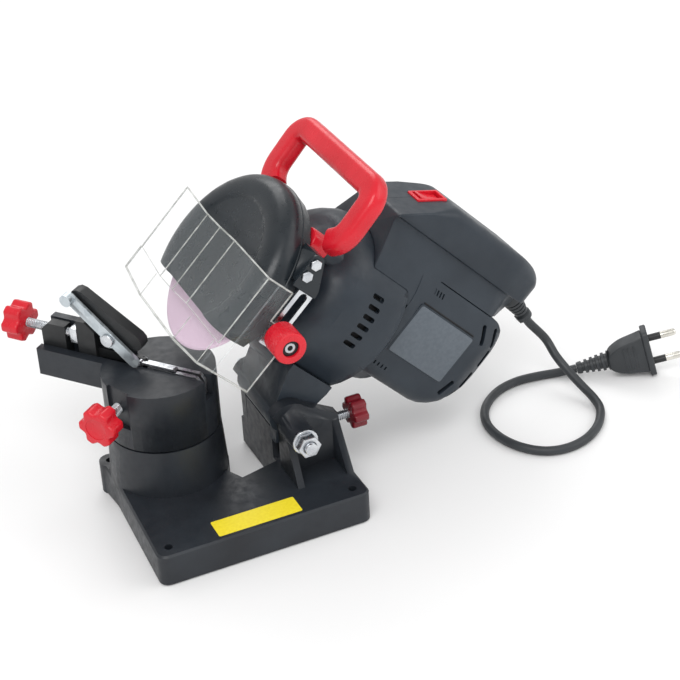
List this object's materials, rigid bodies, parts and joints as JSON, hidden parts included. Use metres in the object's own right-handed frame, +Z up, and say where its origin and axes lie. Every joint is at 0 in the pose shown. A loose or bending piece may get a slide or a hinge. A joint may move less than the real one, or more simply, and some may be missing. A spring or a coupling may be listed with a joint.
{
  "type": "electric chainsaw sharpener",
  "caption": "Bench chain grinder: hinged motor head with guarded grinding disc, loop handle, clear shield and rocker switch above a cast base with a swivelling chain vice, cord and plug.",
  "frame": {"origin": "on the underside of the base, in the middle of its depth and 2 mm left of the middle of its width, where the base rests on the bench", "axes": "+Z up, operator at -Y, +X towards the motor side of the head; the head hinges about an axis parallel to Y"},
  "size_m": [0.4382, 0.1813, 0.2128],
  "materials": {
    "cast": "dark painted casting",
    "housing": "slate grey moulding",
    "black": "black moulding",
    "red": "bright red moulding",
    "dark_red": "dark red moulding",
    "zinc": "bright zinc plate",
    "galvanised": "galvanised strip",
    "steel": "plain steel",
    "copper": "laminations with copper windings",
    "brass": "plain brass",
    "gear": "moulded gear",
    "disc": "vitrified abrasive",
    "rubber": "cord jacket",
    "clear": "clear sheet"
  },
  "bodies": {
    "base": {"base_casting": "cast", "pivot_bolt": "zinc", "pivot_washer": "zinc", "pivot_nut": "zinc", "vice_bolt": "zinc"},
    "depth_stop": {"depth_screw": "zinc", "depth_knob": "dark_red"},
    "vice": {"vice_turret": "cast", "jaw_front": "steel", "jaw_rear": "steel", "stop_block": "black", "lever_pin": "zinc"},
    "stop_screw": {"stop_screw": "zinc", "stop_knob": "red"},
    "carriage": {"stop_carriage": "black", "stop_nut": "zinc", "finger_pin": "zinc", "finger_spring": "steel"},
    "finger": {"chain_finger": "steel"},
    "lever": {"clamp_lever": "galvanised", "lever_grip": "black"},
    "lock": {"lock_stud": "zinc", "lock_knob": "red"},
    "head": {"gear_housing": "housing", "motor_housing_near": "housing", "motor_housing_far": "housing", "top_housing_near": "housing", "top_housing_far": "housing", "rocker_frame": "red", "guard_cover": "housing", "guard_back": "housing", "loop_handle": "red", "loop_bolt_near": "zinc", "loop_bolt_far": "zinc", "shield_strap": "zinc", "strap_bolt_lower": "zinc", "strap_bolt_upper": "zinc", "spindle_bearing_front": "steel", "spindle_bearing_rear": "steel", "rotor_bearing_front": "steel", "rotor_bearing_rear": "steel", "stator": "copper", "brush_holder_near": "brass", "brush_holder_far": "brass", "strain_relief": "rubber", "cord": "rubber", "plug": "rubber", "plug_pin_lower": "brass", "plug_pin_upper": "brass"},
    "disc": {"spindle": "steel", "grinding_disc": "disc", "flange_inner": "zinc", "disc_nut": "zinc", "spindle_gear": "gear"},
    "rotor": {"rotor": "steel", "cooling_fan": "black"},
    "rocker": {"rocker_switch": "red"},
    "shield": {"shield": "clear", "shield_stud": "zinc"},
    "thumb_nut": {"shield_thumb_nut": "red"}
  },
  "joints": [
    {"name": "depth_stop_turn", "type": "hinge", "parent": "base", "child": "depth_stop", "pos_m": [0.06, -0.003, 0.0435], "axis": [1, 0, 0], "range_deg": [-720, 720]},
    {"name": "vice_swing", "type": "hinge", "parent": "base", "child": "vice", "pos_m": [-0.028, 0.0305, 0.0945], "axis": [0, 0, 1], "range_deg": [0, 102]},
    {"name": "stop_screw_turn", "type": "hinge", "parent": "vice", "child": "stop_screw", "pos_m": [-0.07835, 0.09267, 0.1055], "axis": [-0.6293, 0.7771, 0], "range_deg": [-720, 1080]},
    {"name": "carriage_slide", "type": "slide", "parent": "vice", "child": "carriage", "axis": [-0.6293, 0.7771, 0], "range_m": [-0.00201, 0.00301]},
    {"name": "finger_swing", "type": "hinge", "parent": "carriage", "child": "finger", "pos_m": [-0.03492, 0.03905, 0.0956], "axis": [-0.7771, -0.6293, 0], "range_deg": [0, 30], "stiffness_Nm_per_rad": 0.002, "springref_deg": -17.19},
    {"name": "clamp_lever_turn", "type": "hinge", "parent": "vice", "child": "lever", "pos_m": [-0.04625, 0.05304, 0.1115], "axis": [-0.7771, -0.6293, 0], "range_deg": [0, 20]},
    {"name": "lock_knob_turn", "type": "hinge", "parent": "vice", "child": "lock", "pos_m": [-0.06632, 0.01426, 0.0802], "axis": [-0.7771, -0.6293, 0], "range_deg": [-180, 360]},
    {"name": "head_swing", "type": "hinge", "parent": "base", "child": "head", "pos_m": [0.0385, 0.0305, 0.0575], "axis": [0, -1, 0], "range_deg": [0, 9]},
    {"name": "disc_spin", "type": "hinge", "parent": "head", "child": "disc", "pos_m": [0.07643, 0.0305, 0.09452], "axis": [0.6984, 0, -0.7157], "continuous": true},
    {"name": "rotor_spin", "type": "hinge", "parent": "head", "child": "rotor", "pos_m": [0.09933, 0.0305, 0.11686], "axis": [0.6984, 0, -0.7157], "continuous": true},
    {"name": "rocker_tilt", "type": "hinge", "parent": "head", "child": "rocker", "pos_m": [0.15842, 0.0305, 0.15848], "axis": [0, 1, 0], "range_deg": [-11, 0]},
    {"name": "shield_slide", "type": "slide", "parent": "head", "child": "shield", "axis": [0.7157, 0, 0.6984], "range_m": [0, 0.022]},
    {"name": "thumb_nut_turn", "type": "hinge", "parent": "shield", "child": "thumb_nut", "pos_m": [0.02799, -0.0435, 0.13485], "axis": [0, 1, 0], "range_deg": [0, 720]}
  ],
  "couplings": [
    {"joint": "carriage_slide", "follows": "stop_screw_turn", "m_per_rad": 0.00015915},
    {"joint": "rotor_spin", "follows": "disc_spin", "ratio": -4}
  ]
}
